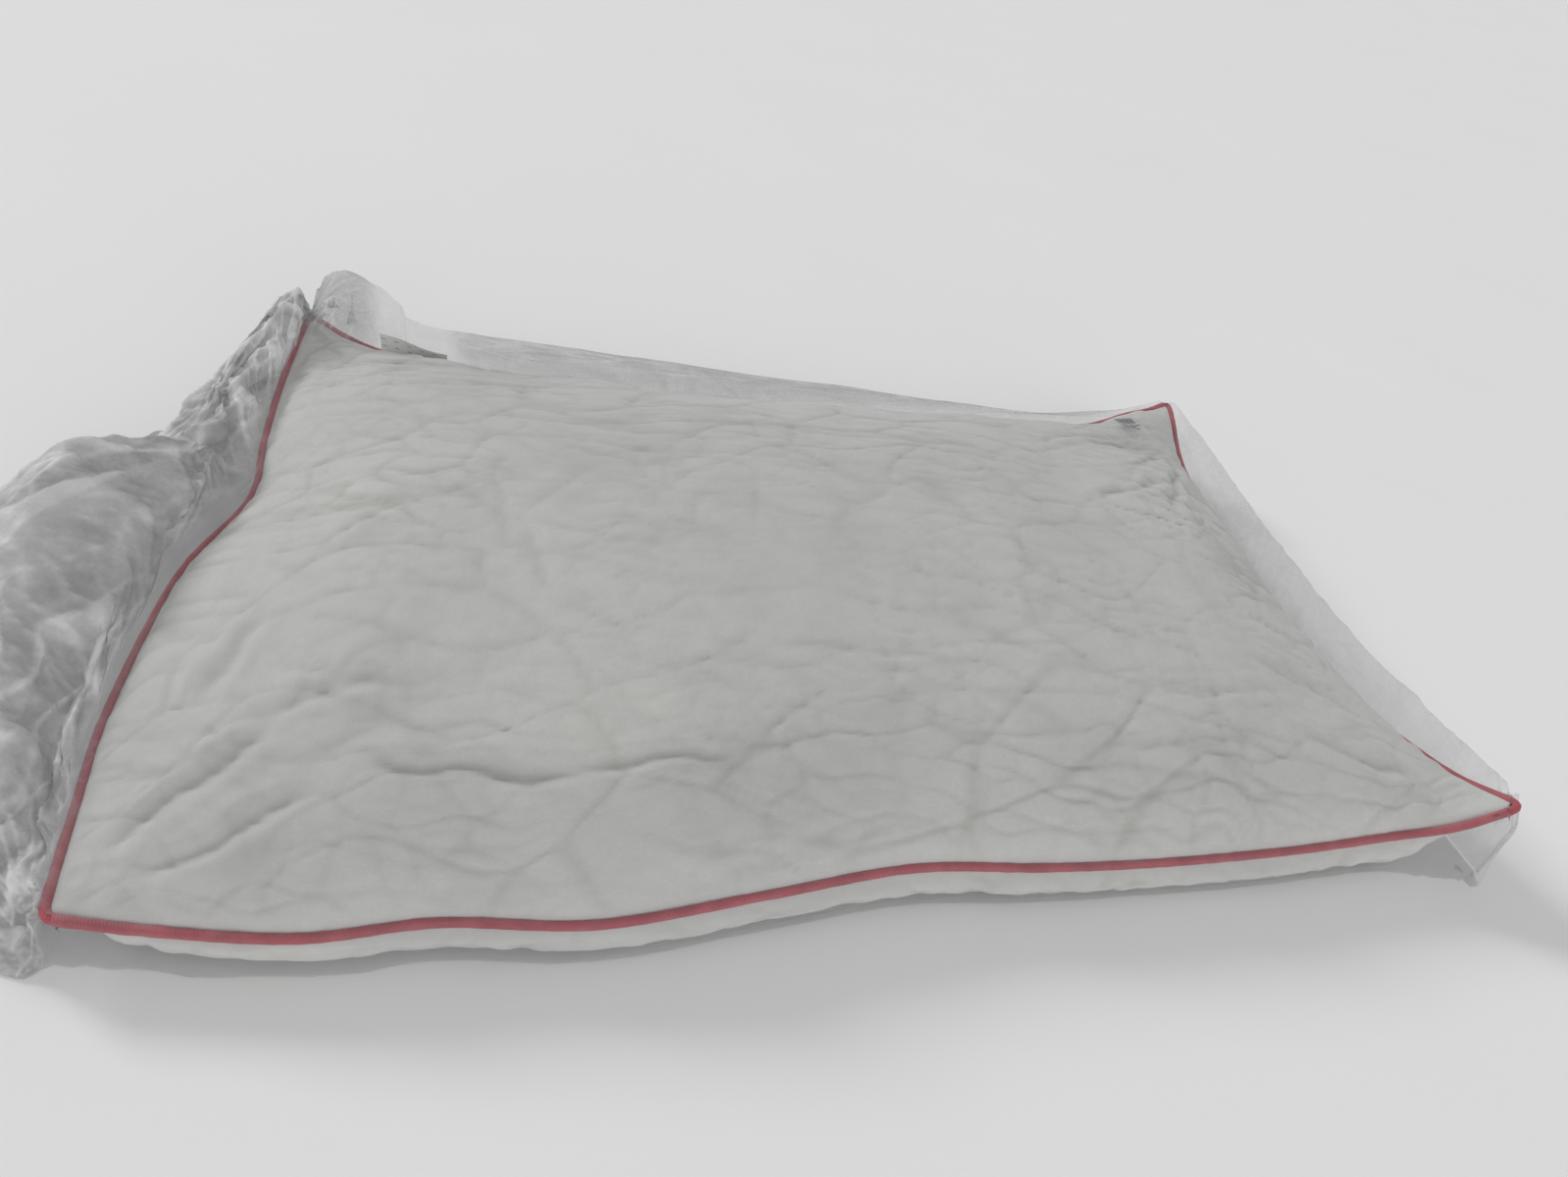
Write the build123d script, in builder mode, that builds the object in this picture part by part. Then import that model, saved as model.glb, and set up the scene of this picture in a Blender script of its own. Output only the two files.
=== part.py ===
"""Bed pillow with a piped seam, lying in its clear film bag.

Millimetres, +Z up. The origin is on the surface that the bag lies on, under the middle of
the pillow. X runs along the pillow's length and Y across its width. The bag's loose end
lies on the -X side.

The pillow is two casing panels sewn together round their edge, with the flange of a piping
between them and loose fibre inside. Every curved surface here is a dome: a quarter ellipse
that rises from the seam outline, so nested pieces use the same domes, moved inward.
"""

import os
from math import atan2, cos, hypot, pi, sin

from build123d import *

# ---- Pillow ----
pillow_length = 740.0       # along X, over the piping
pillow_width = 480.0        # along Y, over the piping
crown_rise = 62.0           # top of the pillow above the seam plane
belly_drop = 30.0           # seam plane above the pillow's resting face
crown_reach = 190.0         # from the seam to the flat top of the crown
belly_reach = 26.0          # from the seam to the flat resting face
corner_radius = 26.0        # outline corner, over the piping
corner_growth = 1.25        # how much rounder a corner gets for each mm up the dome
long_side_pull = 9.0        # how far the middle of a long side pulls in
short_side_pull = 6.0       # how far the middle of a short side pulls in

# ---- Casing and seam ----
casing_thickness = 1.0
seam_allowance = 10.0       # fabric turned in past the seam
piping_diameter = 5.0
piping_wall = 0.8           # bias strip of the piping, and its flange
piping_gap = 0.8            # piping to casing panel, room for the label's root
cord_clearance = 0.1
thread_diameter = 0.6
thread_inset = 3.0          # seam thread in from the panel's edge
closing_inset = 6.0         # closing thread in from the panel's edge
closing_length = 260.0      # gap that was left for filling
fill_clearance = 0.4

# ---- Care label ----
label_width = 48.0
label_thickness = 0.6
label_rise = 27.0           # free height above the seam plane
label_lean = 12.0           # how far its top leans in over the crown
label_half_lean = 2.2       # how far its middle leans in
label_from_corner = 92.0    # label's middle from the -X end of the pillow
label_clearance = 0.05

# ---- Film bag ----
film_thickness = 0.6
film_edge_gap = 1.6         # film to piping
film_crown_gap = 2.0        # film to the top of the pillow
weld_width = 4.0            # lower film past the upper film, where the two are welded
loose_length = 148.0        # bag past the pillow's -X side
loose_width = 430.0
loose_mouth_width = 280.0
loose_height = 84.0
loose_mouth_height = 46.0
loose_shift = -24.0         # the mouth's middle along Y
loose_clearance = 0.3

# ---- Clear print label on the bag ----
print_length = 30.0
print_width = 22.0
print_thickness = 0.3
print_clearance = 0.1
print_from_end = 62.0       # label's middle from the +X end of the pillow
print_from_side = 50.0      # label's middle from the +Y side

# ---- Worked out ----
seam_z = film_thickness + belly_drop
panel_inset = piping_diameter + piping_gap
hem_inset = panel_inset + seam_allowance
panel_z = piping_wall / 2   # each panel's own seam face, up or down from the seam plane
label_recess = label_thickness + 2 * label_clearance
dome_levels = 7
film_inset = -film_edge_gap - film_thickness


def pull_at(side_pull, inset):
    """How far a side's middle pulls in at inset: less and less towards the pillow's middle."""
    return side_pull * (1 - inset / (pillow_width / 2))


def seam_outline(inset, z, radius):
    """The pillow's outline, moved in by inset, as a face at height z."""
    half_x = pillow_length / 2 - inset
    half_y = pillow_width / 2 - inset
    pull_x = pull_at(short_side_pull, inset)
    pull_y = pull_at(long_side_pull, inset)
    with BuildSketch(Plane.XY.offset(z)) as outline:
        with BuildLine():
            ThreePointArc((-half_x, -half_y), (0, -half_y + pull_y), (half_x, -half_y))
            ThreePointArc((half_x, -half_y), (half_x - pull_x, 0), (half_x, half_y))
            ThreePointArc((half_x, half_y), (0, half_y - pull_y), (-half_x, half_y))
            ThreePointArc((-half_x, half_y), (-half_x + pull_x, 0), (-half_x, -half_y))
        make_face()
        fillet(outline.vertices(), radius)
    return outline.sketch


def seam_plane_outline(inset, z):
    """The outline at the seam, where its corners stay concentric."""
    return seam_outline(inset, z, corner_radius - inset)


def dome(inset, z, rise, reach, inward=0.0, mode=Mode.ADD):
    """A quarter-ellipse dome from the outline at inset, with its surface moved inward."""
    sections = []
    for level in range(dome_levels):
        angle = pi / 2 * level / (dome_levels - 1)
        run = reach * (1 - cos(angle))
        climb = rise * sin(angle)
        slope = hypot(rise * cos(angle), reach * sin(angle))
        run_in = run + inward * abs(rise) * cos(angle) / slope
        climb_in = climb - inward * reach * sin(angle) / slope * (1 if rise > 0 else -1)
        widest = pillow_width / 2 - inset - run_in
        radius = min(corner_radius - inset + corner_growth * run - inward, 0.9 * widest)
        sections.append(seam_outline(inset + run_in, z + climb_in, radius))
    loft(sections, mode=mode)


def ring(inset, z, diameter, mode=Mode.ADD):
    """A round cord that follows the seam outline at inset."""
    route = seam_plane_outline(inset, z).face().outer_wire()
    with BuildSketch(Plane(origin=route @ 0, z_dir=route % 0)) as section:
        Circle(diameter / 2)
    sweep(section.sketch, path=route, mode=mode)


def panel(side):
    """A casing panel with its edge turned in: the upper one for side 1, the lower for -1."""
    rise, reach = (crown_rise, crown_reach) if side > 0 else (-belly_drop, belly_reach)
    seam_face = seam_z + side * panel_z
    full_rise = rise - side * panel_z
    dome(panel_inset, seam_face, full_rise, reach)
    dome(panel_inset, seam_face, full_rise, reach, inward=casing_thickness, mode=Mode.SUBTRACT)
    hem = seam_plane_outline(panel_inset + casing_thickness / 2, seam_face)
    hem -= seam_plane_outline(hem_inset, seam_face)
    extrude(hem, amount=side * casing_thickness)


# The panel's edge on the far long side, where the care label comes out of the seam. Local X
# points into the pillow, local Y up, and the sketch plane runs across the label.
label_x = -pillow_length / 2 + label_from_corner
panel_half_x = pillow_length / 2 - panel_inset
panel_pull = pull_at(long_side_pull, panel_inset)
label_pull = panel_pull * (1 - (label_x / panel_half_x) ** 2)
label_slope = atan2(2 * panel_pull * label_x, panel_half_x**2)
label_plane = Plane(
    origin=(label_x, pillow_width / 2 - label_pull - panel_inset, seam_z + panel_z),
    x_dir=(sin(label_slope), -cos(label_slope), 0),
    z_dir=(-cos(label_slope), -sin(label_slope), 0),
)

# ---- Fibre fill: one loose body, necked where the seam allowances stand ----
with BuildPart() as fibre_fill:
    skin = casing_thickness + fill_clearance
    hem_top = panel_z + casing_thickness + thread_diameter + fill_clearance
    dome(panel_inset, seam_z + panel_z, crown_rise - panel_z, crown_reach, inward=skin)
    dome(panel_inset, seam_z - panel_z, panel_z - belly_drop, belly_reach, inward=skin)
    with BuildSketch(Plane.XY.offset(seam_z - hem_top)) as seam_room:
        add(seam_outline(-10, 0, corner_radius))
        add(seam_plane_outline(hem_inset + fill_clearance, 0), mode=Mode.SUBTRACT)
    extrude(amount=2 * hem_top, mode=Mode.SUBTRACT)
    with BuildSketch(Plane.XY.offset(seam_z - hem_top)):
        add(seam_plane_outline(hem_inset + fill_clearance, 0))
    extrude(amount=2 * hem_top)

# ---- Casing ----
with BuildPart() as casing_upper_panel:
    panel(1)
    # The care label's root lies in a recess under the seam allowance.
    with BuildSketch(label_plane):
        with Locations((seam_allowance / 2, label_recess / 2)):
            Rectangle(seam_allowance + 2, label_recess)
    extrude(amount=label_width / 2 + label_clearance, both=True, mode=Mode.SUBTRACT)

with BuildPart() as casing_lower_panel:
    panel(-1)

# ---- Piping: a bias strip folded round a cord, its flange between the panels ----
with BuildPart() as piping_cover:
    ring(piping_diameter / 2, seam_z, piping_diameter)
    flange = seam_plane_outline(piping_diameter - piping_wall / 2, seam_z - panel_z)
    flange -= seam_plane_outline(hem_inset, seam_z - panel_z)
    extrude(flange, amount=piping_wall)
    ring(piping_diameter / 2, seam_z, piping_diameter - 2 * piping_wall, mode=Mode.SUBTRACT)

with BuildPart() as piping_cord:
    ring(piping_diameter / 2, seam_z, piping_diameter - 2 * piping_wall - 2 * cord_clearance)

# ---- Threads, on the inner faces of the turned-in edges ----
thread_z = panel_z + casing_thickness + thread_diameter / 2
with BuildPart() as needle_thread:
    ring(panel_inset + thread_inset, seam_z + thread_z, thread_diameter)

with BuildPart() as bobbin_thread:
    ring(panel_inset + thread_inset, seam_z - thread_z, thread_diameter)

with BuildPart() as closing_thread:
    closing_line = panel_inset + closing_inset
    line_x = closing_line - pillow_length / 2
    line_pull = pull_at(short_side_pull, closing_line)
    end_y = closing_length / 2
    end_x = line_x + line_pull * (1 - (end_y / (pillow_width / 2 - closing_line)) ** 2)
    with BuildLine(Plane.XY.offset(seam_z + thread_z)) as closing_route:
        ThreePointArc((end_x, -end_y), (line_x + line_pull, 0), (end_x, end_y))
    with BuildSketch(Plane(origin=closing_route.line @ 0, z_dir=closing_route.line % 0)):
        Circle(thread_diameter / 2)
    sweep()

# ---- Care label, sewn into the far seam near a corner ----
with BuildPart() as care_label:
    with BuildSketch(label_plane):
        with BuildLine() as route:
            root = label_recess / 2
            seam_point = (-piping_gap / 2, root)
            Line((seam_allowance - label_thickness, root), seam_point)
            ThreePointArc(
                seam_point,
                (label_half_lean - piping_gap / 2, root + label_rise / 2),
                (label_lean - piping_gap / 2, root + label_rise),
            )
        trace(line_width=label_thickness)
    extrude(amount=label_width / 2, both=True)

# ---- Film bag: a flat lower sheet, an upper sheet over the pillow, and the loose end ----
loose_x = -pillow_length / 2 - loose_length
film_dome = (film_inset, seam_z, crown_rise + film_crown_gap + film_thickness, crown_reach)

with BuildPart() as bag_lower_film:
    with BuildSketch():
        add(seam_plane_outline(film_inset - weld_width, 0))
        with BuildLine():
            Polyline(
                (-pillow_length / 4, -loose_width / 2),
                (-pillow_length / 2, -loose_width / 2),
                (loose_x, loose_shift - loose_mouth_width / 2),
                (loose_x, loose_shift + loose_mouth_width / 2),
                (-pillow_length / 2, loose_width / 2),
                (-pillow_length / 4, loose_width / 2),
                close=True,
            )
        make_face()
    extrude(amount=film_thickness)

with BuildPart() as bag_upper_film:
    extrude(seam_plane_outline(film_inset, film_thickness), amount=belly_drop)
    dome(*film_dome)
    cavity = seam_plane_outline(film_inset + film_thickness, film_thickness)
    extrude(cavity, amount=belly_drop, mode=Mode.SUBTRACT)
    dome(*film_dome, inward=film_thickness, mode=Mode.SUBTRACT)

with BuildPart() as bag_open_end:
    for x, width, height, middle in (
        (-pillow_length / 2 + corner_radius, loose_width, loose_height, 0),
        ((loose_x - pillow_length / 2) / 2, loose_width * 0.86, loose_height, loose_shift / 2),
        (loose_x, loose_mouth_width, loose_mouth_height, loose_shift),
    ):
        with BuildSketch(Plane.YZ.offset(x)):
            with BuildLine():
                foot = (middle - width / 2, film_thickness), (middle + width / 2, film_thickness)
                ThreePointArc(foot[0], (middle, film_thickness + height), foot[1])
                Line(foot[1], foot[0])
            make_face()
    loft()
    skirt = seam_plane_outline(film_inset - loose_clearance, film_thickness)
    extrude(skirt, amount=belly_drop, mode=Mode.SUBTRACT)
    dome(*film_dome, inward=-loose_clearance, mode=Mode.SUBTRACT)

# ---- Clear label with a printed code, on the upper film near a corner ----
with BuildPart() as print_label:
    dome(*film_dome, inward=-print_clearance - print_thickness)
    dome(*film_dome, inward=-print_clearance, mode=Mode.SUBTRACT)
    with BuildSketch(Plane.XY.offset(seam_z)):
        with Locations((pillow_length / 2 - print_from_end, pillow_width / 2 - print_from_side)):
            Rectangle(print_width, print_length)
    extrude(amount=2 * crown_rise, mode=Mode.INTERSECT)

os.makedirs("parts", exist_ok=True)
for name, piece in {
    "fibre_fill": fibre_fill,
    "casing_upper_panel": casing_upper_panel,
    "casing_lower_panel": casing_lower_panel,
    "piping_cover": piping_cover,
    "piping_cord": piping_cord,
    "needle_thread": needle_thread,
    "bobbin_thread": bobbin_thread,
    "closing_thread": closing_thread,
    "care_label": care_label,
    "bag_lower_film": bag_lower_film,
    "bag_upper_film": bag_upper_film,
    "bag_open_end": bag_open_end,
    "print_label": print_label,
}.items():
    piece.part.label = name
    export_step(piece.part, f"parts/{name}.step")
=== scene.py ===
"""Bed pillow with a piped seam, lying in its clear film bag. Metres, +Z up, in the CAD frame."""

import math

import bpy
import numpy as np
from mathutils import Matrix, Vector, noise
from mathutils.bvhtree import BVHTree
from mathutils.kdtree import KDTree


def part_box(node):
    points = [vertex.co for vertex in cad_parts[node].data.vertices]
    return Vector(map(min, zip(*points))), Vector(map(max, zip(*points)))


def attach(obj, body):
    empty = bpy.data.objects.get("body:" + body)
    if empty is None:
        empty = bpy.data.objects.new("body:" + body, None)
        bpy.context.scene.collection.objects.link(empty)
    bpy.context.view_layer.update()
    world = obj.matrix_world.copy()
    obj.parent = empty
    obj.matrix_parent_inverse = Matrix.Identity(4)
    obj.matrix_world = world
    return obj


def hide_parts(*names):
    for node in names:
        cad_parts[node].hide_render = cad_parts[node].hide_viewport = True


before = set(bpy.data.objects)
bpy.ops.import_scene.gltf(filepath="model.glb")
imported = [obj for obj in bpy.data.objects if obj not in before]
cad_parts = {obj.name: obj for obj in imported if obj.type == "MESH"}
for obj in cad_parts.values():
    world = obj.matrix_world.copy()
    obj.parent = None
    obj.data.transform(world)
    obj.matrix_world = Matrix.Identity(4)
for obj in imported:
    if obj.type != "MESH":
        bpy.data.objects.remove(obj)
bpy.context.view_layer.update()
MM = 0.001

# ---- Sizes read from the frame ----
piping_low, piping_high = (np.array(corner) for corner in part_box("piping_cover"))
PILLOW_HALF = (piping_high - piping_low)[:2] / 2
SEAM_Z = (piping_low[2] + piping_high[2]) / 2
PIPING_R = (piping_high[2] - piping_low[2]) / 2
BELLY_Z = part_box("casing_lower_panel")[0][2]
CROWN_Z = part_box("casing_upper_panel")[1][2]
CASING_GRID = (170, 110)     # cells of each casing panel along X and Y
CASING_EASE = 1.012          # cloth cut a little larger than the shape it takes
SETTLE_FRAMES = 12           # frames of cloth simulation for the casing
CASING_PRESSURE = 1.6        # of the fibre inside it
ABOVE_ALL = 0.2              # a height that every downward ray starts from


def smoothstep(low, high, value):
    """0 below low, 1 above high, and smooth between them."""
    t = np.clip((value - low) / (high - low), 0, 1)
    return t * t * (3 - 2 * t)


def smooth_curve(points, parameter):
    """A Catmull-Rom curve through given points, read at parameter from 0 to 1."""
    knots = np.array(points, float)
    knots = np.vstack([2 * knots[0] - knots[1], knots, 2 * knots[-1] - knots[-2]])
    spans = len(knots) - 3
    place = np.clip(np.asarray(parameter) * spans, 0, spans - 1e-9)
    i = place.astype(int)
    t = (place - i)[:, None]
    a, b, c, d = (knots[i + k] for k in range(4))
    return 0.5 * (2 * b + (c - a) * t + (2 * a - 5 * b + 4 * c - d) * t**2
                  + (3 * b - a - 3 * c + d) * t**3)


# ---- The seam: each side from corner to corner, in mm. The ears stand up, the sides sag ----
NEAR_LEFT, NEAR_RIGHT = (-383, -245, 25), (373, -226, 66)
FAR_RIGHT, FAR_LEFT = (366, 234, 58), (-353, 246, 60)
NEAR_SEAM = [NEAR_LEFT, (-340, -252, 24), (-282, -258, 24), (-225, -253, 25), (-154, -257, 25),
             (-75, -245, 26), (6, -232, 27), (80, -233, 26), (150, -231, 25), (235, -226, 26),
             (305, -220, 29), (345, -223, 42), NEAR_RIGHT]
RIGHT_SEAM = [NEAR_RIGHT, (364, -180, 44), (353, -100, 29), (349, 0, 26), (351, 90, 28),
              (357, 170, 36), FAR_RIGHT]
FAR_SEAM = [FAR_LEFT, (-326, 240, 45), (-290, 234, 36), (-190, 225, 29), (-60, 220, 27), (80, 218, 26),
            (200, 220, 27), (300, 225, 32), (338, 229, 40), FAR_RIGHT]
LEFT_SEAM = [NEAR_LEFT, (-386, -190, 27), (-388, -130, 30), (-379, -30, 34), (-355, 36, 40),
             (-357, 95, 45), (-358, 170, 50), FAR_LEFT]


def coons(s, t):
    """The surface spanned by the four seam sides, in metres, for s along X and t along Y."""
    near, far = smooth_curve(NEAR_SEAM, s), smooth_curve(FAR_SEAM, s)
    left, right = smooth_curve(LEFT_SEAM, t), smooth_curve(RIGHT_SEAM, t)
    s, t = s[:, None], t[:, None]
    corners = ((1 - s) * (1 - t) * np.array(NEAR_LEFT) + s * (1 - t) * np.array(NEAR_RIGHT)
               + s * t * np.array(FAR_RIGHT) + (1 - s) * t * np.array(FAR_LEFT))
    return MM * ((1 - t) * near + t * far + (1 - s) * left + s * right - corners)


def lens(s, t, power, root):
    """0 on the seam and 1 at the middle of the pillow."""
    return ((1 - np.abs(2 * s - 1) ** power) * (1 - np.abs(2 * t - 1) ** power)) ** root


def upper_shape(s, t):
    place = coons(s, t)
    rise = lens(s, t, 2.5, 0.6)
    place[:, 2] += rise * (CROWN_Z - place[:, 2])
    return place


def lower_shape(s, t):
    place = coons(s, t)
    drop = np.clip(1.9 * lens(s, t, 3.2, 0.62), 0, 1)
    place[:, 2] += drop * (BELLY_Z + MM - place[:, 2])
    return place


def closed_casing():
    """Both panels as one closed mesh, joined along the seam. Returns its points and faces, the
    seam's vertices in order, each vertex's place on its flat panel, and how many vertices the
    upper panel has with the seam."""
    nx, ny = CASING_GRID
    s, t = (g.ravel() for g in np.meshgrid(np.linspace(0, 1, nx + 1),
                                           np.linspace(0, 1, ny + 1), indexing="ij"))
    # Cells shrink towards the seam, where the cloth bends most.
    s_even, t_even = (0.5 - 0.5 * np.sin(np.pi * (0.5 - g) * 0.8) / np.sin(np.pi * 0.4)
                      for g in (s, t))
    upper, lower = upper_shape(s_even, t_even), lower_shape(s_even, t_even)
    index = np.arange((nx + 1) * (ny + 1)).reshape(nx + 1, ny + 1)
    inner = np.zeros_like(index, bool)
    inner[1:-1, 1:-1] = True
    below = index.copy()
    below[inner] = index.size + np.arange(inner.sum())
    points = np.vstack([upper, lower[inner.ravel()]])
    flat = np.stack([(2 * s_even - 1) * PILLOW_HALF[0], (2 * t_even - 1) * PILLOW_HALF[1],
                     np.full(s.size, SEAM_Z)], 1)
    flat = np.vstack([flat, flat[inner.ravel()] - [0, 0, MM]])
    faces = []
    for i in range(nx):
        for j in range(ny):
            faces.append((index[i, j], index[i + 1, j], index[i + 1, j + 1], index[i, j + 1]))
            faces.append((below[i, j], below[i, j + 1], below[i + 1, j + 1], below[i + 1, j]))
    loop = np.concatenate([index[:-1, 0], index[-1, :-1], index[:0:-1, -1], index[0, :0:-1]])
    return points, [tuple(map(int, f)) for f in faces], loop, flat, index.size


def new_object(name, points, faces, smooth=True):
    mesh = bpy.data.meshes.new(name)
    mesh.from_pydata([tuple(p) for p in points], [], faces)
    mesh.update()
    if smooth:
        mesh.shade_smooth()
    piece = bpy.data.objects.new(name, mesh)
    bpy.context.scene.collection.objects.link(piece)
    return piece


def vertices_of(piece):
    places = np.empty(len(piece.data.vertices) * 3)
    piece.data.vertices.foreach_get("co", places)
    return places.reshape(-1, 3)


def set_vertices(piece, places):
    piece.data.vertices.foreach_set("co", np.asarray(places, float).ravel())
    piece.data.update()


def settle(piece, frames, pinned, rest, pressure=0.0, gravity=0.0, bending=0.05, stiffness=12.0,
           pin_stiffness=1.0, damping=8.0, quality=6, mass=0.25):
    """Runs cloth simulation on a piece whose cut shape is rest, and keeps the result."""
    piece.shape_key_add(name="Basis")
    cut = piece.shape_key_add(name="cut")
    cut.data.foreach_set("co", np.asarray(rest, float).ravel())
    group = piece.vertex_groups.new(name="pinned")
    for i, weight in enumerate(pinned):
        if weight > 0:
            group.add([i], float(weight), "REPLACE")
    cloth = piece.modifiers.new("cloth", "CLOTH")
    use = cloth.settings
    use.quality = quality
    use.mass = mass
    use.tension_stiffness = use.compression_stiffness = stiffness
    use.shear_stiffness = stiffness / 3
    use.bending_stiffness = bending
    use.tension_damping = use.compression_damping = use.shear_damping = damping
    use.air_damping = 2.0
    use.effector_weights.gravity = gravity
    use.use_pressure = pressure > 0
    use.uniform_pressure_force = pressure
    use.vertex_group_mass = group.name
    use.pin_stiffness = pin_stiffness
    use.rest_shape_key = cut
    cloth.collision_settings.use_collision = False
    cloth.collision_settings.use_self_collision = False
    cloth.point_cache.frame_start = 1
    cloth.point_cache.frame_end = frames
    scene = bpy.context.scene
    for number in range(1, frames + 1):
        scene.frame_set(number)
    graph = bpy.context.evaluated_depsgraph_get()
    solved = bpy.data.meshes.new_from_object(piece.evaluated_get(graph))
    places = np.empty(len(solved.vertices) * 3)
    solved.vertices.foreach_get("co", places)
    piece.modifiers.clear()
    piece.shape_key_clear()
    piece.vertex_groups.clear()
    set_vertices(piece, places)
    bpy.data.meshes.remove(solved)
    scene.frame_set(1)


def spread(piece, **named):
    """Adds float attributes to a piece's vertices, for its materials."""
    for name, values in named.items():
        layer = piece.data.attributes.new(name, "FLOAT", "POINT")
        layer.data.foreach_set("value", np.asarray(values, np.float32))


def attribute_of(piece, name):
    values = np.empty(len(piece.data.vertices), np.float32)
    piece.data.attributes[name].data.foreach_get("value", values)
    return values.astype(float)


def grid_quads(index):
    """The quads between the points of a grid, from the number of each point."""
    corners = [index[:-1, :-1], index[1:, :-1], index[1:, 1:], index[:-1, 1:]]
    return [tuple(map(int, quad)) for quad in np.stack(corners, -1).reshape(-1, 4)]


def point_tree(points):
    """A search tree over points."""
    tree = KDTree(len(points))
    for k, point in enumerate(points):
        tree.insert(point, k)
    tree.balance()
    return tree


def normals_of(piece):
    normals = np.empty(len(piece.data.vertices) * 3)
    piece.data.vertices.foreach_get("normal", normals)
    return normals.reshape(-1, 3)


def subdivide(piece, levels=1):
    """Catmull-Clark subdivision, applied."""
    modifier = piece.modifiers.new("subdivision", "SUBSURF")
    modifier.levels = modifier.render_levels = levels
    graph = bpy.context.evaluated_depsgraph_get()
    mesh = bpy.data.meshes.new_from_object(piece.evaluated_get(graph))
    piece.modifiers.clear()
    piece.data = mesh
    mesh.shade_smooth()


# ---- Crumple: creases between irregular cells, as crushed cloth and film have ----
def cell_ridges(place, cell, seed, width):
    """1 on the lines between irregular cells and 0 inside them. cell is (length, width)."""
    scaled = place / np.array(cell)
    base = np.floor(scaled).astype(int)
    near = np.full((2, len(place)), 9.0)
    for dx in (-1, 0, 1):
        for dy in (-1, 0, 1):
            corner = base + (dx, dy)
            key = corner[:, 0] * 374761393 + corner[:, 1] * 668265263 + seed * 1442695041
            jitter = []
            for salt in (0, 1):
                mixed = ((key + salt * 2246822519) & 0xFFFFFFFF)
                mixed = ((mixed ^ (mixed >> 13)) * 1274126177) & 0xFFFFFFFF
                mixed = ((mixed ^ (mixed >> 16)) * 2654435761) & 0xFFFFFFFF
                jitter.append((mixed >> 8) / 2**24)
            gap = np.hypot(*(corner + np.array(jitter).T - scaled).T)
            near[1] = np.minimum(near[1], np.maximum(near[0], gap))
            near[0] = np.minimum(near[0], gap)
    return np.exp(-(((near[1] - near[0]) / width) ** 2))


def soft_noise(place, size, seed):
    """Smooth noise from -1 to 1 in the plane, size apart."""
    return np.array([noise.noise(Vector((x / size, y / size, seed * 7.31))) for x, y in place])


def crumple(place, cell, seed, width=0.12, turn=0.0, warp=0.35):
    """Creases of uneven strength. turn is the angle of their long direction."""
    cos, sin = math.cos(turn), math.sin(turn)
    turned = place @ np.array([[cos, -sin], [sin, cos]])
    size = min(cell) * 1.7
    shift = np.stack([soft_noise(turned, size, seed + 1), soft_noise(turned, size, seed + 2)], 1)
    strength = np.clip(0.55 + 0.9 * soft_noise(turned, size * 2.2, seed + 3), 0, 1)
    return strength * cell_ridges(turned + warp * size * shift, cell, seed, width)


def crumple_layers(place, layers):
    """Several crumples added up, each as (height, cell in mm, seed, line width, turn)."""
    return sum(height * crumple(place, (length * MM, width * MM), seed, width=line, turn=turn)
               for height, (length, width), seed, line, turn in layers)


FINE_CREASES = [
    (1.45, (96, 44), 3, 0.06, 0.2), (0.95, (46, 19), 8, 0.11, -0.3),
    (0.5, (19, 11), 12, 0.2, 0.0), (1.1, (130, 19), 15, 0.13, -0.12),
]
SILK_FOLDS = [
    (1.0, (74, 17), 41, 0.13, 1.15), (0.7, (52, 13), 44, 0.15, -0.45), (0.45, (24, 8), 47, 0.2, 0.4),
]

# ---- Creases that run where the cloth is pulled: (from, to, depth, width), in mm ----
CREASES = [
    # the long fold that follows the near side
    ((-262, -196), (-168, -202), 4.0, 7), ((-168, -202), (-92, -190), 3.0, 6),
    # the soft folds gathered at the near left corner
    ((-368, -222), (-300, -168), 3.5, 9), ((-350, -236), (-276, -205), 3.0, 8),
    ((-330, -170), (-262, -150), 3.0, 8), ((-300, -140), (-236, -158), 2.4, 7),
    ((-344, -150), (-322, -96), 2.6, 9),
    # long lines across the far half
    ((-250, 92), (-70, 70), 1.8, 6), ((-210, 62), (20, 40), 1.6, 6), ((-40, 96), (150, 92), 1.6, 6),
    ((-300, 130), (-170, 150), 1.8, 7), ((-316, 176), (-226, 196), 2.0, 7),
    # the fan from the far right corner
    ((300, 178), (180, 120), 1.5, 6), ((318, 176), (120, 70), 1.5, 5), ((338, 168), (210, 40), 1.4, 6),
    ((330, 140), (262, 30), 1.8, 7), ((300, 90), (190, 30), 2.6, 6),
    # the star and upright lines left of the middle
    ((-196, -30), (-150, 32), 1.8, 6), ((-196, -30), (-246, 10), 1.6, 6),
    ((-196, -30), (-180, -96), 2.0, 6), ((-196, -30), (-128, -52), 1.6, 6),
    ((-120, -20), (-104, 54), 1.5, 6), ((-62, -40), (-50, 30), 1.4, 6),
    # short ones over the near half
    ((-60, -128), (34, -134), 2.2, 6), ((66, -122), (132, -118), 2.0, 6),
    ((-110, -96), (-30, -84), 1.6, 6), ((170, -150), (262, -140), 1.8, 7),
    ((260, -170), (345, -200), 2.4, 8), ((240, -110), (316, -150), 2.0, 8),
]
CREASE_WANDER = 5 * MM       # how far a drawn crease strays from its straight line
CREASE_DEPTH_SCALE = 1.3
CREASE_WIDTH_SCALE = 0.72


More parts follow.
